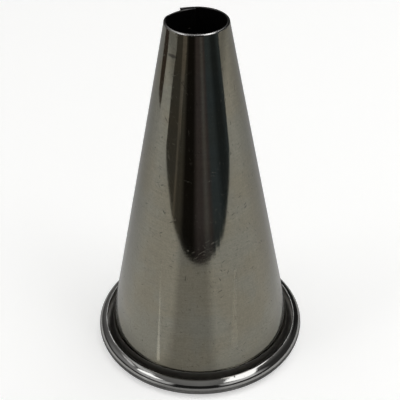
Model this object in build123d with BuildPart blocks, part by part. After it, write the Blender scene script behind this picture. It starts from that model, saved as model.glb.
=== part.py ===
from build123d import *
from math import asin, atan2, cos, degrees, hypot, radians, sin, sqrt, tan
import os

# A plain round piping nozzle of rolled stainless sheet, in millimetres.
# It stands on its rolled rim with its mouth up. The origin is the centre of the base on the resting plane,
# +Z runs up the axis to the mouth, and the seam is at the back, a little towards -X from +Y.
# Azimuths are in degrees, counted from +X towards +Y.

# Overall sizes
nozzle_height = 61.0
mouth_diameter = 9.0
rim_diameter = 37.0
sheet_thickness = 0.4

# Rolled rim: the sheet rolled outwards and up again, with a narrow land to stand on and a gap at the seam
roll_radius = 1.5
foot_width = 0.6
roll_gap = 0.3

# Lap seam, measured at the mouth. One end of the sheet bends inwards along the joggle and is tucked under
# the other end, the flap, whose raw edge stands a little proud. The tucked edge lies at the seam's azimuth
seam_azimuth = 92.2
lap_width = 2.25
lap_gap = 0.12
proud_edge = 0.28
joggle_width = 3.5
tight_bend_radius = 1.3

# Spot welds down the lap
weld_diameter = 1.2
weld_pitch = 6.0
weld_end_margin = 4.0
weld_place_share = 0.45

# The cone's inside runs from the mouth to where it meets the roll without a corner
mouth_radius = mouth_diameter / 2
roll_centre_radius = rim_diameter / 2 - roll_radius
roll_centre_height = sqrt(roll_radius**2 - (foot_width / 2) ** 2)
rise = nozzle_height - roll_centre_height
spread = roll_centre_radius - mouth_radius
half_angle = atan2(spread, rise) - asin(roll_radius / hypot(spread, rise))
wall_run = sheet_thickness / cos(half_angle)
seat_height = roll_centre_height
seat_radius = mouth_radius + rise * tan(half_angle)
tuck = wall_run + lap_gap


def polar(radius, azimuth):
    """Point at a radius and an azimuth."""
    return Vector(radius * cos(radians(azimuth)), radius * sin(radians(azimuth)))


def azimuth_of(point):
    """Azimuth of a point, from 0 to 360."""
    return degrees(atan2(point.Y, point.X)) % 360


# Each bend of the sheet is part of a cone with the nozzle's own taper, about an axis that stands beside the
# nozzle's, so that it meets the next bend without a corner at every height
lap_angle = degrees(lap_width / mouth_radius)
joggle_angle = degrees(joggle_width / mouth_radius)
joggle_foot = seam_azimuth + lap_angle
joggle_head = joggle_foot + joggle_angle

# The flap flattens out from the seam's azimuth until its inside face stands proud at the joggle's foot
flap_radius = mouth_radius + proud_edge
flap_drift = (flap_radius**2 - mouth_radius**2) / 2 / (mouth_radius - flap_radius * cos(radians(lap_angle)))
flap_axis = polar(-flap_drift, seam_azimuth)
flap_angle = azimuth_of(polar(flap_radius, joggle_foot) - flap_axis) - seam_azimuth

# The joggle bends tightly inwards at its head, then gently until it runs on as the tucked layer at its foot
tight_drift = mouth_radius - tight_bend_radius
turn = cos(radians(joggle_angle))
gentle_drift = (tuck**2 + 2 * tight_drift * tuck * turn) / 2 / (tight_drift * (1 - turn) - tuck)
tight_axis = polar(tight_drift, joggle_head)
gentle_axis = polar(-gentle_drift - tuck, joggle_foot)
bends_meet = azimuth_of(tight_axis - gentle_axis)

# Stretches of the sheet: the axis, how far the wall is set in towards it, and the azimuths of the two ends
nozzle_axis = Vector(0, 0)
round_wall = (nozzle_axis, 0, joggle_head, seam_azimuth + 360)
tight_bend = (tight_axis, tight_drift, bends_meet, joggle_head)
gentle_bend = (gentle_axis, -gentle_drift, joggle_foot, bends_meet)
tucked_layer = (nozzle_axis, tuck, seam_azimuth, joggle_foot)
flap = (flap_axis, -flap_drift, seam_azimuth, seam_azimuth + flap_angle)

# Spot welds sit square to the wall, evenly spaced from the rim to the mouth
weld_azimuth = seam_azimuth + lap_angle * weld_place_share
weld_first = seat_height + roll_radius + weld_end_margin
weld_last = nozzle_height - weld_end_margin
weld_count = int((weld_last - weld_first) / weld_pitch) + 1
weld_step = (weld_last - weld_first) / (weld_count - 1)
weld_line = polar(cos(half_angle), weld_azimuth) + Vector(0, 0, sin(half_angle))
weld_places = []
for number in range(weld_count):
    height = weld_first + number * weld_step
    on_wall = polar(mouth_radius + (nozzle_height - height) * tan(half_angle), weld_azimuth)
    weld_places.append(Plane(origin=on_wall + Vector(0, 0, height), z_dir=weld_line))
weld_reach = 2 * (tuck + wall_run + proud_edge)

# Cone of rolled sheet with its lap seam, pierced where the welds fuse the two layers
with BuildPart() as cone_sheet:
    for axis, inset, start, end in (round_wall, tight_bend, gentle_bend, tucked_layer, flap):
        with BuildSketch(Plane(origin=axis, x_dir=polar(1, start), z_dir=polar(1, start - 90))):
            with BuildLine():
                Polyline(
                    (seat_radius - inset, seat_height),
                    (mouth_radius - inset, nozzle_height),
                    (mouth_radius - inset + wall_run, nozzle_height),
                    (seat_radius - inset + wall_run, seat_height),
                    close=True,
                )
            make_face()
        revolve(axis=Axis(axis, (0, 0, 1)), revolution_arc=end - start)
    with Locations(*weld_places):
        Cylinder(weld_diameter / 2, weld_reach, mode=Mode.SUBTRACT)
cone_sheet.part.label = "cone_sheet"

# Spot welds: nuggets through both layers of the lap, flush with the sheet inside and out
standing = (Align.CENTER, Align.CENTER, Align.MIN)
with BuildPart() as seam_welds:
    with Locations(flap_axis + Vector(0, 0, seat_height)):
        flap_reach = flap_drift + wall_run
        Cone(seat_radius + flap_reach, mouth_radius + flap_reach, rise, align=standing)
    with Locations((0, 0, seat_height)):
        Cone(seat_radius - tuck, mouth_radius - tuck, rise, align=standing, mode=Mode.SUBTRACT)
    with Locations(*weld_places):
        Cylinder(weld_diameter / 2, weld_reach, mode=Mode.INTERSECT)
seam_welds.part.label = "seam_welds"

# Rolled rim: the sheet goes on down from the cone, turns under the foot, out and up to its raw edge.
# The two ends of the roll stand a gap apart below the flap's raw edge
roll_centre = Vector(roll_centre_radius, roll_centre_height)
roll_inside = roll_radius - sheet_thickness
flap_end = flap_axis + polar(seat_radius + flap_drift, seam_azimuth + flap_angle)
gap_angle = degrees(roll_gap / roll_centre_radius)
roll_start = azimuth_of(flap_end) + gap_angle

# Angles of the roll's section, counted from straight outwards towards straight up
straight_up = 90
joins_wall = 180 + degrees(half_angle)
half_foot = degrees(asin(foot_width / 2 / roll_radius))
foot_start = 270 - half_foot
foot_end = 270 + half_foot


def on_roll(radius, angle):
    """Point of the roll's section at a distance from its centre."""
    return roll_centre + polar(radius, angle)


with BuildPart() as rolled_rim:
    with BuildSketch(Plane(origin=nozzle_axis, x_dir=polar(1, roll_start), z_dir=polar(1, roll_start - 90))):
        with BuildLine():
            Line((seat_radius, seat_height), on_roll(roll_radius, joins_wall))
            CenterArc(roll_centre, roll_radius, joins_wall, foot_start - joins_wall)
            Line(on_roll(roll_radius, foot_start), on_roll(roll_radius, foot_end))
            CenterArc(roll_centre, roll_radius, foot_end, straight_up + 360 - foot_end)
            Line(on_roll(roll_radius, straight_up), on_roll(roll_inside, straight_up))
            CenterArc(roll_centre, roll_inside, joins_wall, straight_up + 360 - joins_wall)
            Line(on_roll(roll_inside, joins_wall), (seat_radius + wall_run, seat_height))
            Line((seat_radius + wall_run, seat_height), (seat_radius, seat_height))
        make_face()
    revolve(axis=Axis.Z, revolution_arc=360 - gap_angle)
rolled_rim.part.label = "rolled_rim"

os.makedirs("parts", exist_ok=True)
for piece in (cone_sheet.part, seam_welds.part, rolled_rim.part):
    export_step(piece, f"parts/{piece.label}.step")
    print(piece.label, len(piece.solids()), "solids,", round(piece.volume, 2), "cubic mm")
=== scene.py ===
"""Dresses a plain round piping nozzle of rolled steel sheet and sets up its small studio."""

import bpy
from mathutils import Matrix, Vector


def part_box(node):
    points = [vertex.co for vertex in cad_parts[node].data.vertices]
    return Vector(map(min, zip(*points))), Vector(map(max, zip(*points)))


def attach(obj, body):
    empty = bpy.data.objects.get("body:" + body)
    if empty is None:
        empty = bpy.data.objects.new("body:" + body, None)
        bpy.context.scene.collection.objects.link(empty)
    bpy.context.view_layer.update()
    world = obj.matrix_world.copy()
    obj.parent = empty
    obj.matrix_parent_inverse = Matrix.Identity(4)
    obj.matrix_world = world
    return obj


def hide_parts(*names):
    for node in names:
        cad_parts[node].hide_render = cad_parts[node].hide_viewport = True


bl_info = {
    "name": "Piping Nozzle",
    "version": (1, 0, 0),
    "blender": (4, 5, 0),
    "location": "3D View > Sidebar > Nozzle",
    "description": "Makes the surfaces of a rolled steel piping nozzle, and the studio that shows them",
    "category": "Object",
}

from math import asin, atan2, ceil, cos, exp, hypot, pi, radians, sin, sqrt, tan

import bpy
from bpy.props import FloatProperty, FloatVectorProperty, PointerProperty
from mathutils import Matrix, Vector

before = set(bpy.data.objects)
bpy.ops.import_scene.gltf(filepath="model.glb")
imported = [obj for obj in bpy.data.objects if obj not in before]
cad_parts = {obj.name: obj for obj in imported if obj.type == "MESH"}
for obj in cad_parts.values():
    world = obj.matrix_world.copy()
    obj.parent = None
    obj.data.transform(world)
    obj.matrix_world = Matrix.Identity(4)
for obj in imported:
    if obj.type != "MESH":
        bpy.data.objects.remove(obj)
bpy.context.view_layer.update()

MM = 0.001
WHITE = (1.0, 1.0, 1.0)
CONE_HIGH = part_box("cone_sheet")[1]
RIM_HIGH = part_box("rolled_rim")[1]


def length_property(name, description, default):
    """A length that a user can change."""
    return FloatProperty(name=name, description=description, unit="LENGTH", default=default)


def angle_property(name, description, default):
    """An angle that a user can change."""
    return FloatProperty(name=name, description=description, subtype="ANGLE", default=default)


def share_property(name, description, default):
    """A share from nought to one that a user can change."""
    return FloatProperty(name=name, description=description, subtype="FACTOR", default=default)


def level_property(name, description, default):
    """A radiance that a user can change."""
    return FloatProperty(name=name, description=description, default=default)


def colour_property(name, description, default):
    """A colour that a user can change."""
    return FloatVectorProperty(name=name, description=description, subtype="COLOR", default=default)


class NozzleSizes(bpy.types.PropertyGroup):
    """Sizes of the rolled sheet, its seam and its rim."""

    height: length_property("Height", "From the resting plane to the mouth", CONE_HIGH.z)
    rim_radius: length_property("Rim radius", "Outside radius of the rolled rim", RIM_HIGH.x)
    mouth_radius: length_property("Mouth radius", "Inside radius of the mouth", 4.5 * MM)
    thickness: length_property("Sheet thickness", "Thickness of the steel sheet", 0.4 * MM)
    edge_radius: length_property("Edge radius", "Rounding of the sheet's raw edges", 0.16 * MM)
    edge_zone: length_property("Edge zone", "Height of the bare ground band at the lip", 0.13 * MM)
    roll_radius: length_property("Roll radius", "Outside radius of the rolled rim's section", 1.5 * MM)
    roll_gap: length_property("Roll gap", "Gap between the two ends of the roll", 0.3 * MM)
    seam_azimuth: angle_property(
        "Seam azimuth", "Where the tucked edge lies, counted from +X towards +Y", radians(92.2)
    )
    lap_width: length_property("Lap width", "Overlap of the sheet's ends at the mouth", 2.25 * MM)
    lap_gap: length_property("Lap gap", "Gap between the two layers of the lap", 0.12 * MM)
    proud_edge: length_property("Proud edge", "How far the flap's edge stands proud", 0.28 * MM)
    joggle_width: length_property("Joggle width", "Width of the bend beside the lap", 3.5 * MM)
    tight_bend_radius: length_property("Tight bend radius", "Radius where the joggle begins", 1.3 * MM)
    ripple: length_property("Ripple", "Height of the ripples that rolling leaves", 0.005 * MM)
    wander: length_property("Wander", "How far the roll's raw edge wanders from true", 0.012 * MM)
    flare: length_property("Flare", "How far the wall flares at its foot, above the straight cone", 0.34 * MM)
    flare_start: length_property("Flare start", "Height at which the flare begins", 56 * MM)
    nick_depth: length_property("Nick depth", "Depth of the small nick in the rim's raw edge", 0.09 * MM)
    polish_end: length_property("Polish end", "Height below which no polish reaches", 3.35 * MM)


class WeldSizes(bpy.types.PropertyGroup):
    """Sizes and places of the spot welds."""

    diameter: length_property("Diameter", "Diameter of a weld's nugget", 1.2 * MM)
    pitch: length_property("Pitch", "Least distance from weld to weld", 6.0 * MM)
    end_margin: length_property("End margin", "Distance of the end welds from rim and mouth", 4.0 * MM)
    place_share: share_property("Place share", "How far across the lap the welds lie", 0.45)
    ring_lift: length_property("Ring lift", "How far a nugget's rim stands up", 0.035 * MM)


class FinishSettings(bpy.types.PropertyGroup):
    """Colours and gloss of the steel."""

    cone_colour: colour_property("Cone colour", "Steel of the cone", (0.177, 0.165, 0.129))
    cone_cool: colour_property("Cone cool", "Cooler clouds of the cone", (0.171, 0.166, 0.138))
    rim_colour: colour_property("Rim colour", "Steel of the rolled rim", (0.27, 0.268, 0.26))
    # Painted shade: the inside of the cone is painted far darker than its outside, for the shade in its
    # hollow.
    inside_shade_colour: colour_property("Inside colour", "Dull steel inside the cone", (0.055, 0.053, 0.05))
    groove_colour: colour_property("Groove colour", "Dull steel inside the roll", (0.34, 0.33, 0.31))
    # Ground steel of the lip, which the cone's material paints light at the front and dark at the sides as a
    # painted highlight.
    edge_and_highlight_colour: colour_property("Edge colour", "Bare ground steel of the lip", (0.36, 0.355, 0.35))
    weld_colour: colour_property("Weld colour", "Steel of the weld nuggets", (0.17, 0.145, 0.12))
    straw_tint: colour_property("Straw tint", "Heat tint next to a weld", (0.2, 0.13, 0.06))
    blue_tint: colour_property("Blue tint", "Heat tint on a weld's rim", (0.07, 0.08, 0.14))
    pit_colour: colour_property("Pit colour", "Bottom of pits and scratches", (0.05, 0.045, 0.04))
    cone_roughness: share_property("Cone roughness", "Roughness of the cone", 0.04)
    rim_roughness: share_property("Rim roughness", "Roughness of the rolled rim", 0.045)
    dull_roughness: share_property("Dull roughness", "Roughness where no polish reaches", 0.38)
    stain_place: FloatVectorProperty(
        name="Stain place",
        description="Middle of the stain under the lip",
        subtype="XYZ",
        unit="LENGTH",
        default=(-3.6 * MM, -4.15 * MM, 57.4 * MM),
    )
    edge_roughness: share_property("Edge roughness", "Roughness of the lip", 0.22)


class StudioSettings(bpy.types.PropertyGroup):
    """The floor, the room, the cards' colours, the lamps and the camera."""

    floor_colour: colour_property("Floor colour", "Colour of the floor", (0.8, 0.8, 0.79))
    floor_glow: level_property("Floor glow", "What the camera and the steel see added to the floor", 0.46)
    sky_level: level_property("Sky level", "Radiance of the room overhead", 0.42)
    horizon_level: level_property("Horizon level", "Radiance of the room at the horizon", 0.28)
    right_level: level_property("Right level", "How much darker the room is on the right", 0.46)
    left_level: level_property("Left level", "How much darker the room is on the left", 0.22)
    darkest_level: level_property("Darkest level", "Least radiance of the room", 0.07)
    room_colour: colour_property("Room colour", "Colour of the room's light", (1.0, 0.99, 0.97))
    lamp_radiance: level_property("Lamp radiance", "Radiance of the two soft boxes", 3.5)
    card_black: colour_property("Card black", "Darkest part of the front card", (0.024, 0.021, 0.019))
    card_charcoal: colour_property("Card charcoal", "Left part of the front card", (0.13, 0.122, 0.108))
    card_line: colour_property("Card line", "Light line in the front card", (0.32, 0.29, 0.26))
    card_plum: colour_property("Card plum", "Middle of the front card", (0.132, 0.114, 0.122))
    card_grey: colour_property("Card grey", "Right of the middle of the card", (0.24, 0.235, 0.245))
    card_teal: colour_property("Card teal", "Right part of the front card", (0.098, 0.125, 0.148))
    card_brown: colour_property("Card brown", "Dark strip on the left", (0.11, 0.085, 0.07))
    card_green: colour_property("Card green", "Far right of the front card", (0.045, 0.056, 0.064))
    camera_distance: length_property("Camera distance", "From the base's centre to the camera", 172.43 * MM)
    camera_elevation: angle_property("Camera elevation", "Of the camera above the base", radians(43.88))
    camera_tilt: angle_property("Camera tilt", "How far down the camera looks", radians(36.307))
    camera_turn: angle_property("Camera turn", "How far right the camera looks", radians(0.076))
    camera_roll: angle_property("Camera roll", "How far the camera leans", radians(-0.646))
    focal_length: FloatProperty(
        name="Focal length", description="For a picture 36 mm wide", unit="CAMERA", default=82.53
    )


def polar(radius, azimuth):
    """Point in plan at a radius and an azimuth."""
    return Vector((radius * cos(azimuth), radius * sin(azimuth)))


def azimuth_of(point):
    """Azimuth of a point in plan, from nought to a full turn."""
    return atan2(point.y, point.x) % (2 * pi)


class RolledSheet:
    """The sheet's form, worked out from its sizes as the solids are."""

    def __init__(self, sizes):
        self.sizes = sizes
        self.roll_centre = Vector((sizes.rim_radius - sizes.roll_radius, RIM_HIGH.z - sizes.roll_radius))
        self.seat_height = self.roll_centre.y
        self.rise = sizes.height - self.seat_height
        spread = self.roll_centre.x - sizes.mouth_radius
        self.half_angle = atan2(spread, self.rise) - asin(sizes.roll_radius / hypot(spread, self.rise))
        self.taper = tan(self.half_angle)
        self.run = sizes.thickness / cos(self.half_angle)
        self.tuck = self.run + sizes.lap_gap
        self.set_bends()

    def set_bends(self):
        """Works out the axes and the ends of the flap's and the joggle's bends."""
        sizes = self.sizes
        radius = sizes.mouth_radius
        self.lap_angle = sizes.lap_width / radius
        self.joggle_angle = sizes.joggle_width / radius
        self.joggle_foot = sizes.seam_azimuth + self.lap_angle
        self.joggle_head = self.joggle_foot + self.joggle_angle
        flap_radius = radius + sizes.proud_edge
        reach = flap_radius * cos(self.lap_angle)
        self.flap_drift = (flap_radius**2 - radius**2) / 2 / (radius - reach)
        self.flap_axis = polar(-self.flap_drift, sizes.seam_azimuth)
        flap_end = polar(flap_radius, self.joggle_foot) - self.flap_axis
        self.flap_angle = azimuth_of(flap_end) - sizes.seam_azimuth
        self.tight_drift = radius - sizes.tight_bend_radius
        turn = cos(self.joggle_angle)
        slack = self.tight_drift * (1 - turn) - self.tuck
        self.gentle_drift = (self.tuck**2 + 2 * self.tight_drift * self.tuck * turn) / 2 / slack
        self.tight_axis = polar(self.tight_drift, self.joggle_head)
        self.gentle_axis = polar(-self.gentle_drift - self.tuck, self.joggle_foot)
        self.bends_meet = azimuth_of(self.tight_axis - self.gentle_axis)

    def stretches(self):
        """Stretches from the tucked edge to the flap's: axis, radius at the mouth, and the two ends."""
        radius = self.sizes.mouth_radius
        seam = self.sizes.seam_azimuth
        middle = Vector((0, 0))
        return (
            (middle, radius - self.tuck, seam, self.joggle_foot),
            (self.gentle_axis, radius + self.gentle_drift, self.joggle_foot, self.bends_meet),
            (self.tight_axis, radius - self.tight_drift, self.bends_meet, self.joggle_head),
            (middle, radius, self.joggle_head, seam + 2 * pi),
            (self.flap_axis, radius + self.flap_drift, seam + 2 * pi, seam + 2 * pi + self.flap_angle),
        )

    def widening(self, height):
        """How much wider the cone is at a height than at the mouth."""
        return (self.sizes.height - height) * self.taper


def rounding(distance, radius):
    """How far a rounded edge draws back a face at a distance from the edge."""
    if distance >= radius:
        return 0.0
    return radius - sqrt(radius**2 - (radius - distance) ** 2)


def edge_steps(radius, count=6):
    """Distances from an edge at which its rounding has its rows of points."""
    return [radius * (1 - sin(step / count * pi / 2)) for step in range(count, -1, -1)]


def new_object(name, data):
    """Makes an object and puts it in the scene."""
    item = bpy.data.objects.new(name, data)
    bpy.context.scene.collection.objects.link(item)
    return item


def new_mesh(name, points, faces):
    """Makes a mesh object."""
    mesh = bpy.data.meshes.new(name)
    mesh.from_pydata(points, [], faces)
    return new_object(name, mesh)


def smooth_mesh(name, points, faces):
    """Makes a mesh object that is shaded smooth."""
    piece = new_mesh(name, points, faces)
    piece.data.validate()
    piece.data.shade_smooth()
    return piece


def shell_mesh(name, inside, outside):
    """Makes a sheet with thickness from two matching grids of points, closed along its four edges.

    A modifier keeps the shading of its broad faces even beside their narrow rounded edges.
    """
    rows = len(inside)
    columns = len(inside[0])
    points = [point for grid in (inside, outside) for row in grid for point in row]
    far = rows * columns
    faces = []
    for row in range(rows - 1):
        for column in range(columns - 1):
            a = row * columns + column
            b = a + columns
            faces.append((a, a + 1, b + 1, b))
            faces.append((far + a, far + b, far + b + 1, far + a + 1))
    for row in range(rows - 1):
        a = row * columns
        b = a + columns
        faces.append((a, b, far + b, far + a))
        a += columns - 1
        b += columns - 1
        faces.append((a, far + a, far + b, b))
    last = (rows - 1) * columns
    for column in range(columns - 1):
        faces.append((column, far + column, far + column + 1, column + 1))
        a = last + column
        faces.append((a, a + 1, far + a + 1, far + a))
    piece = smooth_mesh(name, points, faces)
    modifier = piece.modifiers.new("even_shading", "WEIGHTED_NORMAL")
    modifier.keep_sharp = True
    return piece


def waves(azimuth, table):
    """Sum of waves round the nozzle, each given as its height, its number round and its phase."""
    return sum(height * sin(number * azimuth + phase) for height, number, phase in table)


def ripple(azimuth, height):
    """Share of the ripple's height that rolling and handling left at a place of the wall."""
    rolls = waves(azimuth, ((0.5, 9, 0.7), (0.3, 17, 2.1), (0.2, 29, 4.0)))
    long_wave, short_wave = 23 * MM, 9 * MM
    along = 0.25 * sin(2 * pi * height / long_wave + 2 * azimuth)
    along += 0.12 * sin(2 * pi * height / short_wave - 3 * azimuth)
    return rolls + along


def flare(sheet, height):
    """How far the wall leans out from the straight cone: most above the rim, and nothing at its seat."""
    sizes = sheet.sizes
    if height >= sizes.flare_start:
        return 0.0
    crest_drop, bow = 0.25 * MM, 1.3
    crest = sizes.polish_end - crest_drop
    if height >= crest:
        return sizes.flare * ((sizes.flare_start - height) / (sizes.flare_start - crest)) ** bow
    share = (height - sheet.seat_height) / (crest - sheet.seat_height)
    return sizes.flare * share**2 * (3 - 2 * share)


def sheet_rows(sheet):
    """Rows of the wall along the sheet: axis, radius, azimuth, and how far the raw edge draws back."""
    edge = sheet.sizes.edge_radius
    spacing = 0.36 * MM
    fewest_steps = 8
    rows = []
    stretches = sheet.stretches()
    for number, (axis, radius, start, end) in enumerate(stretches):
        is_first = number == 0
        is_last = number == len(stretches) - 1
        base_radius = radius + sheet.widening(sheet.seat_height)
        steps = max(fewest_steps, ceil((end - start) * base_radius / spacing))
        places = [start + (end - start) * step / steps for step in range(steps + 1)]
        if is_first:
            rim = [start + distance / radius for distance in edge_steps(edge)]
            places = rim + [place for place in places if place > rim[-1] + edge / radius]
        elif is_last:
            rim = [end - distance / radius for distance in reversed(edge_steps(edge))]
            places = [place for place in places[1:] if place < rim[0] - edge / radius] + rim
        else:
            places = places[1:]
        for place in places:
            from_start = abs(place - start) * radius if is_first else edge
            from_end = abs(end - place) * radius if is_last else edge
            rows.append((axis, radius, place, rounding(min(from_start, from_end), edge)))
    return rows


def wall_levels(sheet):
    """Levels of the wall from the rim's seat to the lip: height, and the lip's drawing back."""
    edge = sheet.sizes.edge_radius
    lip_start = sheet.sizes.height - 2 * edge
    groove_top = sheet.sizes.polish_end + sheet.sizes.thickness
    fine, coarse = 0.15 * MM, 0.75 * MM
    levels = []
    for low, high, spacing in ((sheet.seat_height, groove_top, fine), (groove_top, lip_start, coarse)):
        steps = ceil((high - low) / spacing)
        levels += [(low + (high - low) * step / steps, 0.0) for step in range(steps)]
    levels.append((lip_start, 0.0))
    for distance in reversed(edge_steps(edge)):
        levels.append((sheet.sizes.height - distance, rounding(distance, edge)))
    return levels


def make_cone_wall(sheet):
    """Makes the cone of rolled sheet, from the tucked edge round to the flap's raw edge."""
    levels = wall_levels(sheet)
    half = sheet.run / 2
    inside, outside = [], []
    for axis, radius, place, edge_inset in sheet_rows(sheet):
        direction = polar(1, place)
        inside_row, outside_row = [], []
        for height, lip_inset in levels:
            inset = max(edge_inset, lip_inset)
            swell = sheet.sizes.ripple * ripple(place, height) + flare(sheet, height)
            middle = axis + direction * (radius + half + sheet.widening(height) + swell)
            inner = middle - direction * (half - inset)
            outer = middle + direction * (half - inset)
            inside_row.append((inner.x, inner.y, height))
            outside_row.append((outer.x, outer.y, height))
        inside.append(inside_row)
        outside.append(outside_row)
    return shell_mesh("cone_wall", inside, outside)


def roll_columns(sheet):
    """Columns of the rim's section from its seat to its raw edge: middle, way out, half thickness, inset."""
    sizes = sheet.sizes
    middle_radius = sizes.roll_radius - sizes.thickness / 2
    joins_wall = pi + sheet.half_angle
    straight_up = 2.5 * pi
    seat_middle = sizes.mouth_radius + sheet.widening(sheet.seat_height) + sheet.run / 2
    columns = [(Vector((seat_middle, sheet.seat_height)), Vector((-1, 0)), sheet.run / 2, 0.0)]
    edge_angles = [distance / middle_radius for distance in edge_steps(sizes.edge_radius)]
    steps = 64
    last = straight_up - 2 * sizes.edge_radius / middle_radius
    angles = [joins_wall + (last - joins_wall) * step / steps for step in range(steps + 1)]
    angles += [straight_up - angle for angle in reversed(edge_angles)]
    for angle in angles:
        outwards = polar(1, angle)
        distance = (straight_up - angle) * middle_radius
        inset = rounding(max(distance, 0.0), sizes.edge_radius)
        middle = sheet.roll_centre + outwards * middle_radius
        columns.append((middle, outwards, sizes.thickness / 2, inset))
    return columns


def roll_places(start, end, edge, reach):
    """Azimuths of the roll's sections, close together at its two rounded ends."""
    steps = 540
    edge_angles = [distance / reach for distance in edge_steps(edge, 3)]
    first = start + 2 * edge / reach
    last = end - 2 * edge / reach
    places = [start + angle for angle in edge_angles]
    places += [first + (last - first) * step / steps for step in range(steps + 1)]
    return places + [end - angle for angle in reversed(edge_angles)]


def make_rolled_bead(sheet):
    """Makes the open rolled rim, from one of its ends beside the seam round to the other."""
    sizes = sheet.sizes
    flap_radius = sizes.mouth_radius + sheet.widening(sheet.seat_height) + sheet.flap_drift
    flap_end = sheet.flap_axis + polar(flap_radius, sizes.seam_azimuth + sheet.flap_angle)
    reach = sheet.roll_centre.x
    gap = sizes.roll_gap / reach
    start = azimuth_of(flap_end) + gap
    end = start + 2 * pi - gap
    edge = sizes.edge_radius / 2
    swell_outwards = 0.6
    wander_power, nick_power = 2, 12
    columns = roll_columns(sheet)
    inside, outside = [], []
    for place in roll_places(start, end, edge, reach):
        distance = min(place - start, end - place) * reach
        end_inset = rounding(max(distance, 0.0), edge)
        direction = polar(1, place)
        wander = bead_wander(place, sizes.wander)
        nick = bead_nick(place, sizes.nick_depth)
        inside_row, outside_row = [], []
        for number, (middle, outwards, half, edge_inset) in enumerate(columns):
            inset = max(end_inset, edge_inset)
            share = number / (len(columns) - 1)
            swell = wander * share**wander_power + nick * share**nick_power
            inner = middle - outwards * (half - inset)
            outer = middle + outwards * (half - inset)
            for row, point in ((inside_row, inner), (outside_row, outer)):
                across = direction * (point.x + swell * swell_outwards)
                row.append((across.x, across.y, max(point.y + swell, 0.0)))
        inside.append(inside_row)
        outside.append(outside_row)
    return shell_mesh("rolled_bead", outside, inside)


def bead_wander(azimuth, height):
    """How far the roll's raw edge wanders from true, always downwards."""
    return height * waves(azimuth, ((1.0, 5, 1.0), (0.6, 13, 0.0), (0.4, 31, 2.0))) - 2 * height


def bead_nick(azimuth, depth):
    """The small nick in the roll's raw edge, a little right of the front."""
    middle, half_width = radians(288.6), radians(0.4)
    from_nick = (azimuth - middle + pi) % (2 * pi) - pi
    return -depth * exp(-((from_nick / half_width) ** 2))


class WeldSpot:
    """One spot weld of the lap: its middle and the directions across, up and out of the wall."""

    def __init__(self, sheet, azimuth, height):
        self.sheet = sheet
        on_wall = polar(sheet.sizes.mouth_radius + sheet.widening(height) + flare(sheet, height), azimuth)
        self.middle = Vector((on_wall.x, on_wall.y, height))
        flat = polar(cos(sheet.half_angle), azimuth)
        self.out = Vector((flat.x, flat.y, sin(sheet.half_angle)))
        self.across = Vector((-sin(azimuth), cos(azimuth), 0))
        self.up = self.out.cross(self.across) * -1

    def on_face(self, reach, turn, axis, radius, lift):
        """Point on a face of the lap at a reach and a turn from the middle, lifted off the face."""
        point = self.middle + self.across * (reach * cos(turn)) + self.up * (reach * sin(turn))
        plan = point.xy - axis
        wanted = radius + self.sheet.widening(point.z) + flare(self.sheet, point.z) + lift
        plan = axis + plan.normalized() * wanted
        return (plan.x, plan.y, point.z)


def weld_spots(sheet, welds):
    """Places of the spot welds, evenly spaced from the rim to the mouth."""
    first = sheet.seat_height + sheet.sizes.roll_radius + welds.end_margin
    last = sheet.sizes.height - welds.end_margin
    count = int((last - first) / welds.pitch) + 1
    azimuth = sheet.sizes.seam_azimuth + sheet.lap_angle * welds.place_share
    heights = [first + (last - first) * number / (count - 1) for number in range(count)]
    return [WeldSpot(sheet, azimuth, height) for height in heights]


# Rings of a nugget's face from its middle out: share of its radius, and share of the ring's lift
NUGGET_MIDDLE_LIFT = 0.25
NUGGET_RINGS = ((0.3, 0.3), (0.55, 0.5), (0.72, 0.9), (0.84, 1.0), (0.93, 0.7), (1.0, 0.0), (1.04, -1.2))
NUGGET_SIDES = 40


def nugget_face(spot, face, welds, base):
    """Points and faces of one dished face of a nugget, and where its outermost ring begins.

    The face is given as its axis, its radius at the mouth and its sign. The base is its first point's number.
    """
    axis, face_radius, sign = face
    lift = sign * welds.ring_lift
    points = [spot.on_face(0, 0, axis, face_radius, lift * NUGGET_MIDDLE_LIFT)]
    for reach_share, lift_share in NUGGET_RINGS:
        for side in range(NUGGET_SIDES):
            turn = 2 * pi * side / NUGGET_SIDES
            reach = welds.diameter / 2 * reach_share
            points.append(spot.on_face(reach, turn, axis, face_radius, lift * lift_share))
    faces = []
    last_ring = len(NUGGET_RINGS) - 1
    for side in range(NUGGET_SIDES):
        after = (side + 1) % NUGGET_SIDES
        faces.append((base, base + 1 + side, base + 1 + after))
        for ring in range(last_ring):
            a = base + 1 + ring * NUGGET_SIDES
            b = a + NUGGET_SIDES
            faces.append((a + side, b + side, b + after, a + after))
    if sign < 0:
        faces = [corners[::-1] for corners in faces]
    return points, faces, base + 1 + last_ring * NUGGET_SIDES


def make_weld_nuggets(sheet, welds):
    """Makes the nuggets: dished discs with a soft raised ring, through both layers of the lap."""
    radius = sheet.sizes.mouth_radius
    outer_face = (sheet.flap_axis, radius + sheet.flap_drift + sheet.run, 1)
    inner_face = (Vector((0, 0)), radius - sheet.tuck, -1)
    points, faces = [], []
    for spot in weld_spots(sheet, welds):
        rims = []
        for face in (outer_face, inner_face):
            face_points, dish, rim = nugget_face(spot, face, welds, len(points))
            points += face_points
            faces += dish
            rims.append(rim)
        outer_rim, inner_rim = rims
        for side in range(NUGGET_SIDES):
            after = (side + 1) % NUGGET_SIDES
            faces.append((outer_rim + side, inner_rim + side, inner_rim + after, outer_rim + after))
    return smooth_mesh("weld_nuggets", points, faces)


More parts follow.
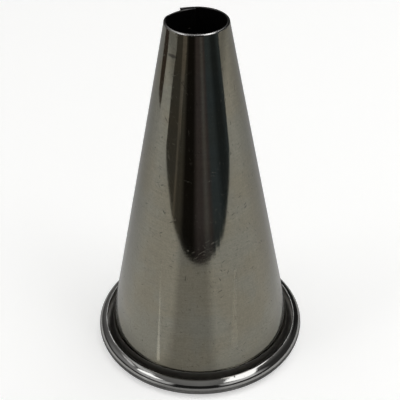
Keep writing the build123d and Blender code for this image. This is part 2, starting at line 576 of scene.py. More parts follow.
class Wire:
    """A number or a colour that runs between nodes, for use in Python expressions."""

    def __init__(self, nodes, socket):
        self.nodes = nodes
        self.socket = socket

    def __add__(self, other):
        return self.nodes.math("ADD", self, other)

    def __sub__(self, other):
        return self.nodes.math("SUBTRACT", self, other)

    def __rsub__(self, other):
        return self.nodes.math("SUBTRACT", other, self)

    def __mul__(self, other):
        return self.nodes.math("MULTIPLY", self, other)

    def __truediv__(self, other):
        return self.nodes.math("DIVIDE", self, other)

    def __pow__(self, other):
        return self.nodes.math("POWER", self, other)

    def __lt__(self, other):
        return self.nodes.math("LESS_THAN", self, other)

    __radd__ = __add__
    __rmul__ = __mul__


class NodeGraph:
    """The nodes of one material or of the world."""

    def __init__(self, owner):
        owner.use_nodes = True
        self.owner = owner
        self.tree = owner.node_tree
        self.tree.nodes.clear()

    def add(self, kind, settings=None, sockets=None, output=0):
        """Adds a node of a type, sets its settings first and then its sockets, and returns an output."""
        node = self.tree.nodes.new(kind)
        for name, value in (settings or {}).items():
            if name == "stops":
                self.set_stops(node.color_ramp, value)
            else:
                setattr(node, name, value)
        for name, value in (sockets or {}).items():
            if isinstance(value, Wire):
                self.tree.links.new(value.socket, node.inputs[name])
            else:
                node.inputs[name].default_value = value
        return Wire(self, node.outputs[output]) if node.outputs else None

    @staticmethod
    def set_stops(ramp, stops):
        """Gives a colour ramp its stops."""
        while len(ramp.elements) < len(stops):
            ramp.elements.new(1.0)
        for element, (place, colour) in zip(ramp.elements, stops):
            element.position = place
            element.color = (*colour, 1.0)

    def math(self, operation, *values):
        """Adds a Math node."""
        return self.add("ShaderNodeMath", {"operation": operation}, dict(enumerate(values)))

    def vector(self, operation, *values, output=0):
        """Adds a Vector Math node."""
        return self.add("ShaderNodeVectorMath", {"operation": operation}, dict(enumerate(values)), output)

    def dot(self, first, second):
        """Adds a dot product of two vectors."""
        return self.vector("DOT_PRODUCT", first, second, output="Value")

    def join(self, x, y, z):
        """Joins three numbers into a vector."""
        return self.add("ShaderNodeCombineXYZ", None, {0: x, 1: y, 2: z})

    def mix(self, share, first, second):
        """Mixes two colours."""
        sockets = {0: share, 6: rgba(first), 7: rgba(second)}
        return self.add("ShaderNodeMix", {"data_type": "RGBA"}, sockets, 2)

    def noise(self, place, scale, detail=3.0, roughness=0.55):
        """Noise from nought to one at a place that is given in millimetres."""
        sockets = {"Vector": place, "Scale": scale, "Detail": detail, "Roughness": roughness}
        return self.add("ShaderNodeTexNoise", None, sockets)

    def fade(self, value, low, high):
        """Rises smoothly from nought at one value to one at another."""
        sockets = {"Value": value, "From Min": low, "From Max": high}
        return self.add("ShaderNodeMapRange", {"interpolation_type": "SMOOTHSTEP"}, sockets)

    def glow(self, colour, level=1.0):
        """Light of a colour and a level, or of a number alone as grey."""
        return self.add("ShaderNodeEmission", None, {"Color": rgba(colour), "Strength": level})

    def cover(self, share, level):
        """Grey of a level where the share is one, and clear where it is nought."""
        clear = self.add("ShaderNodeBsdfTransparent")
        return self.add("ShaderNodeMixShader", None, {0: share, 1: clear, 2: self.glow(WHITE, level)})

    def finish(self, shader, kind="ShaderNodeOutputMaterial"):
        """Joins the surface to the output, and returns what the nodes belong to."""
        self.add(kind, None, {"Surface": shader})
        return self.owner


def new_material(name):
    """The nodes of a new material."""
    return NodeGraph(bpy.data.materials.new(name))


def rgba(colour):
    """A colour with its alpha, or a wire as it is."""
    return colour if isinstance(colour, Wire) else (*colour, 1.0)


def turn_from(nodes, point, back):
    """Angle round the nozzle's axis, rising anticlockwise, which is nought opposite an azimuth."""
    ahead = nodes.dot(point, (-cos(back), -sin(back), 0))
    aside = nodes.dot(point, (sin(back), -cos(back), 0))
    return nodes.math("ARCTAN2", aside, ahead)


class WallPlace:
    """Wires that say where a point of the nozzle is, in millimetres."""

    def __init__(self, nodes, sheet):
        self.nodes = nodes
        spot = nodes.add("ShaderNodeTexCoord", None, None, "Object")
        self.point = nodes.vector("MULTIPLY", spot, (1 / MM, 1 / MM, 1 / MM))
        parts = nodes.add("ShaderNodeSeparateXYZ", None, {0: self.point}).socket.node.outputs
        self.x, self.y, self.z = (Wire(nodes, part) for part in parts)
        self.turn = turn_from(nodes, self.point, sheet.joggle_foot)
        self.radius = nodes.math("POWER", self.x * self.x + self.y * self.y, 0.5)
        self.arc = self.turn * self.radius

    def stretched(self, across, up):
        """Place on the unrolled wall, with the arc and the height multiplied."""
        return self.nodes.join(self.arc * across, self.z * up, self.radius)


def ticks(nodes, place, lean, number, share):
    """Short straight scratches that lean by an angle: one on a scratch, nought elsewhere."""
    narrow, drawn_out, patch_scale = 5.5, 0.8, 0.3
    line_start, line_full = 0.75, 0.8
    patch_start, patch_full = 0.62 - share, 0.66 - share
    across = (place.arc * cos(lean) - place.z * sin(lean)) * narrow
    along = (place.arc * sin(lean) + place.z * cos(lean)) * drawn_out
    lines = nodes.noise(nodes.join(across, along, 7.3 * number), 1.0, detail=0.0)
    patches = nodes.noise(nodes.join(place.arc, place.z, 3.1 * number), patch_scale, detail=0.0)
    return nodes.fade(lines, line_start, line_full) * nodes.fade(patches, patch_start, patch_full)


def pits(nodes, place, scale, size, share):
    """Small round pits: one in the middle of a pit, nought outside."""
    sockets = {"Vector": place, "Scale": scale, "Randomness": 1.0}
    cell = nodes.add("ShaderNodeTexVoronoi", {"feature": "F1"}, sockets, "Distance")
    colour = nodes.add("ShaderNodeTexVoronoi", {"feature": "F1"}, sockets, "Color")
    chance = nodes.add("ShaderNodeSeparateColor", None, {0: colour})
    bottom = size * 0.4
    return (1 - nodes.fade(cell, bottom, size)) * (chance < share)


def steel(nodes, colour, roughness, normal):
    """A steel surface. Everything that is the same all over is set on the shader itself."""
    settings = {"distribution": "MULTI_GGX"}
    sockets = {"Base Color": colour, "Metallic": 1.0, "Roughness": roughness, "Normal": normal}
    return nodes.add("ShaderNodeBsdfPrincipled", settings, sockets)


def toned(nodes, colour, tone):
    """A colour made lighter or darker by a number."""
    grey = nodes.add("ShaderNodeCombineColor", None, {0: tone, 1: tone, 2: tone})
    settings = {"data_type": "RGBA", "blend_type": "MULTIPLY"}
    return nodes.add("ShaderNodeMix", settings, {0: 1.0, 6: rgba(colour), 7: grey}, 2)


def bump(nodes, height, depth):
    """Tilts the normal by a height from nought to one that stands for a depth."""
    return nodes.add("ShaderNodeBump", None, {"Height": height, "Distance": depth, "Strength": 1.0})


def weld_distance(nodes, place, sheet, welds):
    """Distance from the nearest spot weld, in nugget radii."""
    spots = weld_spots(sheet, welds)
    low, high = spots[0].middle, spots[-1].middle
    pitch = (spots[1].middle - low).length / MM
    line = (high - low).normalized()
    away = nodes.vector("SUBTRACT", place.point, tuple(low / MM))
    along = nodes.dot(away, tuple(line))
    total = nodes.dot(away, away)
    aside = nodes.math("MAXIMUM", total - along * along, 0.0)
    limited = nodes.math("MINIMUM", nodes.math("MAXIMUM", along, 0.0), (high - low).length / MM)
    step = along - nodes.math("ROUND", limited / pitch) * pitch
    return nodes.math("SQRT", aside + step * step) / (welds.diameter / 2 / MM)


def inside_share(nodes, place, sheet):
    """One on the wall's inside face, nought on its outside face."""
    border = 0.05
    middle = (sheet.sizes.mouth_radius + sheet.run / 2 + sheet.sizes.height * sheet.taper) / MM
    return nodes.fade(middle - place.z * sheet.taper - place.radius, -border, border)


def cone_scratches(nodes, place):
    """The cone's scratches: many that lean little, and a few at steeper leans."""
    many, few = 0.07, 0.02
    scratches = ticks(nodes, place, radians(5), 0, many)
    for number, lean in enumerate((-34, 63, -78), 1):
        layer = ticks(nodes, place, radians(lean), number, few)
        scratches = nodes.math("MAXIMUM", scratches, layer)
    return scratches


def stain_share(nodes, place, finish, mottle):
    """One on the small stain under the lip, nought elsewhere."""
    outer, inner, ragged, flatness = 1.1, 0.5, 0.8, 3.0
    middle = tuple(Vector(finish.stain_place) / MM)
    away = nodes.vector("SUBTRACT", place.point, middle)
    flattened = nodes.vector("MULTIPLY", away, (1.0, 1.0, flatness))
    distance = nodes.vector("LENGTH", flattened, output="Value")
    return nodes.fade(distance + (mottle - 0.5) * ragged, outer, inner)


def heat_tinted(nodes, colour, distance, finish):
    """A colour with the straw ring and the blue ring that heat leaves round a weld."""
    straw = nodes.fade(distance, 2.3, 1.5) * 0.55
    blue = nodes.fade(distance, 1.5, 1.1) * 0.8
    return nodes.mix(blue, nodes.mix(straw, colour, finish.straw_tint), finish.blue_tint)


def cone_steel(sheet, finish, welds):
    """Polished sheet with clouds, rolling lines, scratches, pits and heat tints; dull inside, painted near
    black there as shade; its lip band painted light at the front as a highlight.
    """
    nodes = new_material("cone_steel")
    place = WallPlace(nodes, sheet)
    cloud = nodes.noise(place.point, 0.13)
    mottle = nodes.noise(place.point, 0.9, detail=5.0, roughness=0.65)
    lines = nodes.noise(place.stretched(3.0, 0.06), 1.0, detail=4.0, roughness=0.7)
    grain = nodes.noise(place.point, 3.4, roughness=0.7)
    turned = nodes.noise(place.stretched(0.3, 3.6), 1.0, roughness=0.6)
    peel = nodes.noise(place.point, 1.3, roughness=0.6)
    marks = cone_scratches(nodes, place)
    holes = pits(nodes, place.point, scale=0.5, size=0.1, share=0.22)
    inside = inside_share(nodes, place, sheet)

    tone = 0.36 + cloud * 0.14 + mottle * 0.16 + lines * 0.12 + turned * 0.32 + grain * 0.62
    colour = nodes.mix(nodes.fade(cloud, 0.4, 0.62), finish.cone_colour, finish.cone_cool)
    colour = toned(nodes, colour, tone)
    colour = heat_tinted(nodes, colour, weld_distance(nodes, place, sheet, welds), finish)
    colour = nodes.mix(holes * 0.75, colour, finish.pit_colour)
    colour = nodes.mix(marks * 0.5, colour, finish.pit_colour)
    colour = nodes.mix(stain_share(nodes, place, finish, mottle) * 0.8, colour, finish.pit_colour)

    top = sheet.sizes.polish_end / MM
    border, ragged = 0.06, 0.25
    groove = nodes.fade(place.z + (mottle - 0.5) * ragged, top + border, top - border)
    colour = nodes.mix(groove, colour, toned(nodes, finish.groove_colour, 0.8 + mottle * 0.4))
    # Painted shade: the inside face is painted near black, for the shade inside the hollow cone.
    colour = nodes.mix(inside, colour, toned(nodes, finish.inside_shade_colour, 0.7 + mottle * 0.6))
    lip = (sheet.sizes.height - sheet.sizes.edge_zone) / MM
    border, ragged = 0.02, 0.06
    edge = nodes.fade(place.z + (grain - 0.5) * ragged, lip - border, lip + border)
    # Painted highlight: the lip's ground band is painted light at the front and fades to dark towards the
    # sides, for the overhead light caught on the rounded lip.
    side_y, front_y = -0.5, -3.6
    front = nodes.fade(place.y, side_y, front_y)
    colour = nodes.mix(edge, colour, toned(nodes, finish.edge_and_highlight_colour, front * 0.9 + 0.1))

    polished = finish.cone_roughness + mottle * 0.02 + cloud * 0.01 + marks * 0.2 + holes * 0.3 + grain * 0.03
    dull = nodes.math("MAXIMUM", inside, groove)
    roughness = polished + dull * (finish.dull_roughness - polished)
    roughness = roughness + edge * (finish.edge_roughness - roughness)
    height = peel + lines * 0.3 + turned * 0.25 + grain * 0.3 - marks * 1.5 - holes * 5.0
    return nodes.finish(steel(nodes, colour, roughness, bump(nodes, height, depth=0.002 * MM)))


def rim_steel(sheet, finish):
    """Bright polished steel with fine lines round the roll, and dull steel inside it."""
    nodes = new_material("rim_steel")
    place = WallPlace(nodes, sheet)
    across, along = 9.0, 1.4
    section = nodes.join(place.radius * across, place.z * across, place.turn * along)
    turning = nodes.noise(section, 1.0, roughness=0.6)
    cloud = nodes.noise(place.point, 0.35, detail=4.0)
    knocks = nodes.noise(place.point, 1.6, detail=2.0)
    marks = ticks(nodes, place, radians(70), number=2, share=0.1)
    colour = toned(nodes, finish.rim_colour, 0.84 + cloud * 0.22 + turning * 0.1)
    colour = nodes.mix(marks * 0.3, colour, finish.pit_colour)

    centre = sheet.roll_centre / MM
    reach = nodes.math("SQRT", (place.radius - centre.x) ** 2.0 + (place.z - centre.y) ** 2.0)
    middle = (sheet.sizes.roll_radius - sheet.sizes.thickness / 2) / MM
    border, under_start, under_full = 0.04, 0.9, 1.1
    inside = nodes.fade(reach, middle + border, middle - border)
    under = nodes.fade(place.radius, centre.x - under_start, centre.x - under_full)
    dull = nodes.math("MAXIMUM", inside, under)
    colour = nodes.mix(dull, colour, toned(nodes, finish.groove_colour, 0.8 + cloud * 0.4))
    polished = finish.rim_roughness + turning * 0.02 + cloud * 0.02 + marks * 0.1
    roughness = polished + dull * (finish.dull_roughness - polished)
    height = turning * 0.7 + knocks - marks
    return nodes.finish(steel(nodes, colour, roughness, bump(nodes, height, depth=0.003 * MM)))


def nugget_steel(sheet, finish, welds):
    """Dull pressed steel of a spot weld, straw and blue towards its rim."""
    nodes = new_material("nugget_steel")
    place = WallPlace(nodes, sheet)
    distance = weld_distance(nodes, place, sheet, welds)
    grain = nodes.noise(place.point, 9.0, detail=4.0, roughness=0.7)
    burnt = nodes.fade(distance + grain * 0.2, 0.6, 1.0)
    colour = nodes.mix(burnt, finish.weld_colour, finish.blue_tint)
    colour = nodes.mix(nodes.fade(grain, 0.45, 0.7) * 0.4, colour, finish.straw_tint)
    # Painted shade: the nuggets' inside face is painted near black, for the shade inside the cone.
    colour = nodes.mix(inside_share(nodes, place, sheet), colour, finish.inside_shade_colour)
    roughness = 0.28 + grain * 0.16
    return nodes.finish(steel(nodes, colour, roughness, bump(nodes, grain, depth=0.006 * MM)))


def put_on(piece, material, slot, *nodes):
    """Gives a piece its material, and lets it stand for nodes of the frame; the slot is not used."""
    piece.data.materials.append(material)
    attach(piece, "root")
    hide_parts(*nodes)


class NOZZLE_OT_cone_wall(bpy.types.Operator):
    """Make the cone of rolled sheet with its lap seam."""

    bl_idname = "nozzle.cone_wall"
    bl_label = "Cone Wall"

    def execute(self, context):
        scene = context.scene
        sheet = RolledSheet(scene.nozzle_sizes)
        piece = make_cone_wall(sheet)
        material = cone_steel(sheet, scene.nozzle_finish, scene.nozzle_welds)
        put_on(piece, material, "satin_steel", "cone_sheet")
        return {"FINISHED"}


class NOZZLE_OT_rolled_bead(bpy.types.Operator):
    """Make the open rolled rim that the nozzle stands on."""

    bl_idname = "nozzle.rolled_bead"
    bl_label = "Rolled Bead"

    def execute(self, context):
        scene = context.scene
        sheet = RolledSheet(scene.nozzle_sizes)
        piece = make_rolled_bead(sheet)
        put_on(piece, rim_steel(sheet, scene.nozzle_finish), "polished_steel", "rolled_rim")
        return {"FINISHED"}


class NOZZLE_OT_weld_nuggets(bpy.types.Operator):
    """Make the spot welds that hold the seam."""

    bl_idname = "nozzle.weld_nuggets"
    bl_label = "Weld Nuggets"

    def execute(self, context):
        scene = context.scene
        sheet = RolledSheet(scene.nozzle_sizes)
        piece = make_weld_nuggets(sheet, scene.nozzle_welds)
        material = nugget_steel(sheet, scene.nozzle_finish, scene.nozzle_welds)
        put_on(piece, material, "weld_steel", "seam_welds")
        return {"FINISHED"}


# Azimuth of the back, opposite the camera
BACK = pi / 2

# Studio, in metres: outlines are seen from above, with the camera at the foot of the page.
# The films and cards lie one over the other just over the floor, and only reflections see them
FLOOR_LEVEL = -0.01 * MM
FLOOR_REACH = 6.0
FILM_HEIGHT = 0.2 * MM
NEAR_FILM_HEIGHT = 0.25 * MM
STREAK_HEIGHT = 0.3 * MM
CARD_HEIGHT = 0.4 * MM
WEDGE_HEIGHT = 0.5 * MM

# Dark reflection down the front of the cone, with a torn edge at its foot, and the brown strip on its left
FRONT_APRON = (
    (-FLOOR_REACH, -FLOOR_REACH),
    (FLOOR_REACH, -FLOOR_REACH),
    (FLOOR_REACH, -0.5),
    (0.33, -0.11),
    (0.15, -0.068),
    (0.094, -0.0765),
    (0.053, -0.0785),
    (0.049, -0.082),
    (0.045, -0.0785),
    (0.038, -0.0835),
    (0.034, -0.08),
    (0.027, -0.083),
    (0.02, -0.0815),
    (-0.046, -0.083),
    (-0.094, -0.0775),
    (-0.15, -0.061),
    (-0.215, -0.086),
    (-0.26, -0.108),
    (-0.33, -0.165),
    (-FLOOR_REACH, -0.9),
)
APRON_NEAR_LEVEL = 0.6
APRON_NEAR_REACH = 0.085
APRON_FAR_REACH = 0.125
PALE_WEDGE_LEFT = ((-0.69, -0.724), (-0.302, -0.317), (-0.228, -0.262), (-0.177, -0.208), (-0.137, -0.166))
PALE_WEDGE_RIGHT = ((-0.132, -0.172), (-0.1685, -0.2236), (-0.207, -0.3), (-0.252, -0.42), (-0.515, -0.857))
LEFT_STRIP = ((-0.15, 0.06), (-0.2, 0.135), (-0.3, 0.22), (-0.36, 0.12), (-0.245, 0.03), (-0.165, 0.018))

# Shade of the floor in the steel: degrees to the right of the front, and share that is taken away
FLOOR_SHADES = (
    (-180, 0.6),
    (-150, 0.6),
    (-120, 0.4),
    (-86, 0.0),
    (-34, 0.0),
    (-25, 0.35),
    (8, 0.35),
    (18, 0.05),
    (84, 0.05),
    (120, 0.4),
    (150, 0.6),
    (180, 0.6),
)
FLOOR_FILM_RADIUS = 0.45
FLOOR_RINGS = ((0.027, 0.02, 0.25), (0.22, 0.3, 0.45))
RIM_SHADES = ((-180, 0.68), (-40, 0.68), (-14, 0.35), (6, 0.35), (30, 0.68), (180, 0.68))
NEAR_FILM_RADIUS = 0.0208

# Thin lines of light down the cone: the line on the floor, its width, its level, and where it fades out
LEFT_LINE = ((-0.058, -0.0405), (-0.0425, -0.0348), (-0.029, -0.0283), (-0.0177, -0.0215), (-0.0136, -0.0189))
RIGHT_LINE = ((0.051, -0.0432), (0.0398, -0.0405), (0.0305, -0.0355), (0.0225, -0.0301), (0.0153, -0.0251))
STREAKS = {
    "left_streak": (LEFT_LINE, 1.2 * MM, 0.6, 0.035, 0.07),
    "right_streak": (RIGHT_LINE, 4 * MM, 0.12, 0.05, 0.075),
}

# Upright screens: level, distance, lowest and highest point, and share that they cover, by degrees as above
LEFT_GLOW_COVER = ((-125, 0.0), (-100, 0.35), (-72, 0.4), (-58, 1.0), (-34, 1.0), (-26, 0.0))
SCREENS = {
    "front_screen": (0.03, 0.55, 0.03, 0.42, ((-34, 0.0), (-24, 1.0), (16, 1.0), (27, 0.0))),
    "back_screen": (0.03, 0.85, 0.04, 0.75, ((125, 0.0), (130, 1.0), (190, 1.0), (205, 0.0))),
    "left_glow": (1.1, 0.5, 0.15, 0.46, LEFT_GLOW_COVER),
    "right_glow": (1.4, 0.5, 0.17, 0.46, ((17, 0.0), (29, 1.0), (54, 1.0), (74, 0.0))),
}

# Bright shapes level overhead, which the rim mirrors: level and outline
WINDOW_HEIGHT = 0.6
RIGHT_WINDOW_NEAR = ((-0.01, 0.68), (0.08, 0.2), (0.12, 0.0), (0.17, -0.2), (0.22, -0.42))
RIGHT_WINDOW_FAR = ((0.6, -0.42), (0.5, -0.2), (0.38, -0.04), (0.27, 0.1), (0.18, 0.3), (0.1, 0.68))
LEFT_WINDOW_NEAR = ((-0.29, -0.01), (-0.33, -0.12), (-0.37, -0.36))
LEFT_WINDOW_FAR = ((-0.6, -0.42), (-0.76, -0.34), (-0.64, -0.16), (-0.45, -0.06))
WINDOWS = {
    "right_window": (3.6, RIGHT_WINDOW_NEAR + RIGHT_WINDOW_FAR),
    "left_window": (3.6, LEFT_WINDOW_NEAR + LEFT_WINDOW_FAR),
    "left_sheen": (1.15, ((-0.11, 0.4), (-0.2, 0.42), (-0.36, 0.04), (-0.24, -0.02))),
    "left_patch": (1.4, ((-0.64, -0.04), (-0.5, -0.02), (-0.3, 0.26), (-0.37, 0.32))),
    "back_window": (2.8, ((-0.23, 0.48), (-0.06, 0.5), (-0.06, 0.64), (-0.2, 0.64))),
}

# Soft boxes level overhead: middle, size and turn
SOFT_BOXES = {
    "right_soft_box": ((0.3, -0.05, 0.6), (0.24, 0.7), radians(23.6)),
    "left_soft_box": ((-0.48, -0.17, 0.6), (0.12, 0.85), radians(-45)),
}


def stage_object(name, points, faces, material):
    """Makes a piece of the studio from flat faces."""
    piece = new_mesh(name, points, faces)
    piece.data.materials.append(material)
    return piece


def seen_in_steel_only(piece):
    """Lets only reflections see a card, so that it neither shows nor shades anything."""
    piece.visible_camera = False
    piece.visible_diffuse = False
    piece.visible_shadow = False
    piece.visible_transmission = False
    piece.visible_volume_scatter = False


def flat_card(name, corners, height, material):
    """A card that lies flat at a height."""
    points = [(x, y, height) for x, y in corners]
    seen_in_steel_only(stage_object(name, points, [tuple(range(len(points)))], material))


def floor_reach(nodes):
    """How far a point of the floor lies from the nozzle's axis, in metres."""
    point = nodes.add("ShaderNodeTexCoord", None, None, "Object")
    return nodes.vector("LENGTH", point, output="Value")


def turn_share(nodes):
    """Where a point lies round the nozzle: a half in front, rising to the right."""
    point = nodes.add("ShaderNodeTexCoord", None, None, "Object")
    return turn_from(nodes, point, BACK) / (2 * pi) + 0.5


def turn_ramp(nodes, stops):
    """Colours round the nozzle, whose places are given as degrees to the right of the front."""
    places = [(0.5 + degree / 360, tuple(colour)) for degree, colour in stops]
    return nodes.add("ShaderNodeValToRGB", {"stops": places}, {0: turn_share(nodes)})


def turn_greys(nodes, stops):
    """A number that changes round the nozzle, as greys of a ramp."""
    return turn_ramp(nodes, [(degree, (level, level, level)) for degree, level in stops])


def floor_paper(studio, shelter):
    """Pale matt paper, as pale in the steel as it is to the camera, and unlit within the nozzle's base."""
    nodes = new_material("floor_paper")
    kinds = ("Camera", "Glossy", "Transmission")
    rays = [nodes.add("ShaderNodeLightPath", None, None, f"Is {kind} Ray") for kind in kinds]
    seen = nodes.math("MINIMUM", sum(rays), 1.0)
    matt = nodes.add("ShaderNodeBsdfDiffuse", None, {"Color": rgba(studio.floor_colour)})
    fully_sheltered = 0.97
    outside = nodes.fade(floor_reach(nodes), shelter * fully_sheltered, shelter)
    glow = nodes.glow(seen * outside * studio.floor_glow)
    return nodes.finish(nodes.add("ShaderNodeAddShader", None, {0: matt, 1: glow}))


def plain_paint(name, colour, level=1.0):
    """Card of one colour."""
    nodes = new_material(name)
    return nodes.finish(nodes.glow(colour, level))


def apron_paint(studio):
    """Dark card, whose colour changes from the left over the front to the right, darker at its near edge."""
    plum, teal = studio.card_plum, studio.card_teal
    stops = (
        (-45, studio.card_charcoal),
        (-42, studio.card_line),
        (-39, studio.card_charcoal),
        (-32, studio.card_charcoal),
        (-24, studio.card_black),
        (-10, studio.card_black),
        (-2, plum),
        (6, plum),
        (12, studio.card_grey),
        (19, plum),
        (25, teal),
        (33, teal),
        (44, studio.card_green),
        (56, studio.card_green),
        (66, teal),
    )
    nodes = new_material("front_card")
    far = nodes.fade(floor_reach(nodes), APRON_NEAR_REACH, APRON_FAR_REACH)
    level = APRON_NEAR_LEVEL + far * (1 - APRON_NEAR_LEVEL)
    return nodes.finish(nodes.glow(toned(nodes, turn_ramp(nodes, stops), level)))


def film_tint(name, shades, rings=()):
    """Thin film that shades the floor under it: by degrees round the nozzle, and by rings round its axis.

    A ring has the distance from the axis where its shade begins, the one where it is full, and its share.
    """
    nodes = new_material(name)
    shade = turn_greys(nodes, shades)
    reach = floor_reach(nodes)
    left = 1.0
    for start, full, share in rings:
        left = left * (1 - nodes.fade(reach, start, full) * share)
    return nodes.finish(nodes.cover(1 - left * (1 - shade), 0.0))


def streak_paint(name, level, near, far):
    """Thin strip of light on the floor, which fades from one distance from the axis to another."""
    nodes = new_material(name)
    clear = nodes.add("ShaderNodeBsdfTransparent")
    glow = nodes.glow(nodes.fade(floor_reach(nodes), far, near) * level)
    return nodes.finish(nodes.add("ShaderNodeAddShader", None, {0: clear, 1: glow}))


def screen_paint(name, level, cover_stops):
    """Upright screen of one grey, which covers what is behind it as much as its stops say."""
    nodes = new_material(name)
    return nodes.finish(nodes.cover(turn_greys(nodes, cover_stops), level))


def disc(radius):
    """Corners of a round card in the middle."""
    corners = 36
    return [tuple(polar(radius, 2 * pi * corner / corners)) for corner in range(corners)]


def strip(line, width):
    """Corners of a strip of a width along a line of points."""
    sides = ([], [])
    for number, (x, y) in enumerate(line):
        before = Vector(line[max(number - 1, 0)])
        after = Vector(line[min(number + 1, len(line) - 1)])
        aside = (after - before).normalized().orthogonal() * width / 2
        sides[0].append((x + aside.x, y + aside.y))
        sides[1].append((x - aside.x, y - aside.y))
    return sides[0] + sides[1][::-1]


def lay_floor(studio, shelter):
    """Lays the pale paper that the nozzle stands on."""
    far = FLOOR_REACH
    points = [(x, y, FLOOR_LEVEL) for x, y in ((-far, -far), (far, -far), (far, far), (-far, far))]
    stage_object("floor", points, [(0, 1, 2, 3)], floor_paper(studio, shelter))


def lay_dark_cards(studio):
    """Lays the dark apron before the nozzle, the pale wedge on it and the brown strip on the left."""
    flat_card("front_apron", FRONT_APRON, CARD_HEIGHT, apron_paint(studio))
    pale = plain_paint("pale_card", studio.card_line)
    flat_card("pale_wedge", PALE_WEDGE_LEFT + PALE_WEDGE_RIGHT, WEDGE_HEIGHT, pale)
    flat_card("left_strip", LEFT_STRIP, CARD_HEIGHT, plain_paint("dim_card", studio.card_brown))


def lay_films_and_streaks():
    """Lays the films that shade the floor in the steel, and the thin strips of light."""
    film = film_tint("floor_film", FLOOR_SHADES, FLOOR_RINGS)
    flat_card("floor_film", disc(FLOOR_FILM_RADIUS), FILM_HEIGHT, film)
    flat_card("near_film", disc(NEAR_FILM_RADIUS), NEAR_FILM_HEIGHT, film_tint("near_film", RIM_SHADES))
    for name, (line, width, level, near, far) in STREAKS.items():
        flat_card(name, strip(line, width), STREAK_HEIGHT, streak_paint(name, level, near, far))


def stand_screen(name, level, reach, low, high, cover_stops):
    """Stands a curved card upright round the nozzle."""
    first, last = cover_stops[0][0], cover_stops[-1][0]
    degrees_per_face = 5
    count = ceil((last - first) / degrees_per_face)
    points = []
    for step in range(count + 1):
        azimuth = radians(first + (last - first) * step / count) - BACK
        points += [(reach * cos(azimuth), reach * sin(azimuth), height) for height in (low, high)]
    faces = [(2 * step, 2 * step + 2, 2 * step + 3, 2 * step + 1) for step in range(count)]
    seen_in_steel_only(stage_object(name, points, faces, screen_paint(name, level, cover_stops)))


def hang_windows():
    """Hangs the bright shapes that the rim mirrors."""
    for name, (level, corners) in WINDOWS.items():
        flat_card(name, corners, WINDOW_HEIGHT, plain_paint(name, WHITE, level))


def hang_soft_box(name, middle, size, turn, radiance):
    """Hangs a long soft box of a given radiance, which lights the floor and the steel but isn't mirrored."""
    light = bpy.data.lights.new(name, "AREA")
    light.shape = "RECTANGLE"
    light.size, light.size_y = size
    light.energy = radiance * pi * size[0] * size[1]
    lamp = new_object(name, light)
    lamp.location = middle
    lamp.rotation_euler = (0, 0, turn)
    lamp.visible_camera = False
    lamp.visible_glossy = False


def set_sky(studio):
    """A plain grey room, lighter overhead than at the horizon and darker on both sides."""
    world = bpy.data.worlds.new("room")
    bpy.context.scene.world = world
    nodes = NodeGraph(world)
    point = nodes.add("ShaderNodeTexCoord", None, None, "Generated")
    parts = nodes.add("ShaderNodeSeparateXYZ", None, {0: point}).socket.node.outputs
    up = nodes.math("MAXIMUM", Wire(nodes, parts[2]), 0.0)
    right = nodes.math("MAXIMUM", Wire(nodes, parts[0]), 0.0)
    left = right - Wire(nodes, parts[0])
    level = studio.horizon_level + up * (studio.sky_level - studio.horizon_level)
    level = level - right * studio.right_level - left * studio.left_level
    level = nodes.math("MAXIMUM", level, studio.darkest_level)
    sockets = {"Color": rgba(studio.room_colour), "Strength": level}
    nodes.finish(nodes.add("ShaderNodeBackground", None, sockets), "ShaderNodeOutputWorld")


# Width of the picture that the focal length is given for, in millimetres
PICTURE_WIDTH = 36


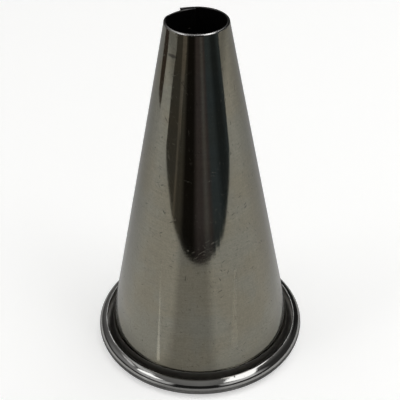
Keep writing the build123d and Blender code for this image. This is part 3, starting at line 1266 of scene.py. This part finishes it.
def set_camera(studio):
    """Stands the camera where the picture was taken."""
    data = bpy.data.cameras.new("camera")
    data.lens = studio.focal_length
    data.sensor_width = PICTURE_WIDTH
    data.clip_start = 1 * MM
    camera = new_object("camera", data)
    distance, elevation = studio.camera_distance, studio.camera_elevation
    tilt, turn, roll = studio.camera_tilt, studio.camera_turn, studio.camera_roll
    ahead = Vector((0, cos(tilt), -sin(tilt)))
    right = Vector((1, 0, 0))
    over = right.cross(ahead)
    look = ahead * cos(turn) + right * sin(turn)
    side = right * cos(turn) - ahead * sin(turn)
    across = side * cos(roll) + over * sin(roll)
    up = over * cos(roll) - side * sin(roll)
    place = Vector((0, -distance * cos(elevation), distance * sin(elevation)))
    camera.matrix_world = Matrix.Translation(place) @ Matrix((across, up, -look)).transposed().to_4x4()
    bpy.context.scene.camera = camera


class NOZZLE_OT_studio(bpy.types.Operator):
    """Set up the pale floor, the soft lamps, the dark cards and the camera."""

    bl_idname = "nozzle.studio"
    bl_label = "Studio"

    def execute(self, context):
        scene = context.scene
        studio = scene.nozzle_studio
        scene.view_settings.view_transform = "Standard"
        lay_floor(studio, RolledSheet(scene.nozzle_sizes).roll_centre.x)
        lay_dark_cards(studio)
        lay_films_and_streaks()
        for name, screen in SCREENS.items():
            stand_screen(name, *screen)
        hang_windows()
        for name, box in SOFT_BOXES.items():
            hang_soft_box(name, *box, studio.lamp_radiance)
        set_sky(studio)
        set_camera(studio)
        return {"FINISHED"}


class NOZZLE_PT_panel(bpy.types.Panel):
    """Lists the steps that make the nozzle."""

    bl_label = "Piping Nozzle"
    bl_idname = "NOZZLE_PT_panel"
    bl_space_type = "VIEW_3D"
    bl_region_type = "UI"
    bl_category = "Nozzle"

    def draw(self, context):
        for operator in OPERATORS:
            self.layout.operator(operator.bl_idname)


OPERATORS = (NOZZLE_OT_cone_wall, NOZZLE_OT_rolled_bead, NOZZLE_OT_weld_nuggets, NOZZLE_OT_studio)
SETTINGS = {
    "nozzle_sizes": NozzleSizes,
    "nozzle_welds": WeldSizes,
    "nozzle_finish": FinishSettings,
    "nozzle_studio": StudioSettings,
}


def register():
    for cls in (*SETTINGS.values(), *OPERATORS, NOZZLE_PT_panel):
        bpy.utils.register_class(cls)
    for name, cls in SETTINGS.items():
        setattr(bpy.types.Scene, name, PointerProperty(type=cls))


def unregister():
    for name in SETTINGS:
        delattr(bpy.types.Scene, name)
    for cls in (NOZZLE_PT_panel, *reversed(OPERATORS), *reversed(SETTINGS.values())):
        bpy.utils.unregister_class(cls)


def main():
    register()
    bpy.ops.nozzle.cone_wall()
    bpy.ops.nozzle.rolled_bead()
    bpy.ops.nozzle.weld_nuggets()
    bpy.ops.nozzle.studio()


if __name__ == "__main__":
    main()
